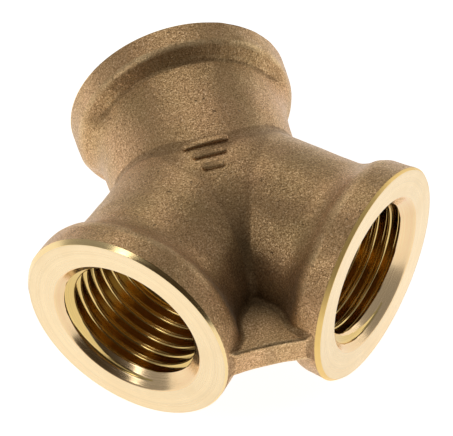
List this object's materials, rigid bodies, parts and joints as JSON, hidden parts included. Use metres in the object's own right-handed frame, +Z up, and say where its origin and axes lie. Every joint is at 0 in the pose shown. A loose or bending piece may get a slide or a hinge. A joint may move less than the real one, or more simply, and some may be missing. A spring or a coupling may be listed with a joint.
{
  "type": "y-piece pipe fitting",
  "caption": "Cast metal Y-shaped pipe fitting with female threaded ports in one plane, thick round collars, machined end faces and a flat web in the crotch.",
  "frame": {"origin": "centre of the rear port's flat end face, on that port's axis", "axes": "+Y along the rear port's axis, out of its mouth. +Z up, at right angles to the plane of the three ports. The left port opens towards -X-Y and the right port towards +X-Y."},
  "size_m": [0.0564, 0.0486, 0.0312],
  "materials": {
    "cast_skin": "as-cast, fine sandy grain, matt",
    "machined": "fine turned, satin to bright"
  },
  "bodies": {
    "root": {"junction": "cast_skin", "rear_collar": "cast_skin", "left_collar": "cast_skin", "right_collar": "cast_skin", "rear_threaded_end": "machined", "left_threaded_end": "machined", "right_threaded_end": "machined", "web": "cast_skin", "casting_mark": "cast_skin"}
  },
  "joints": []
}
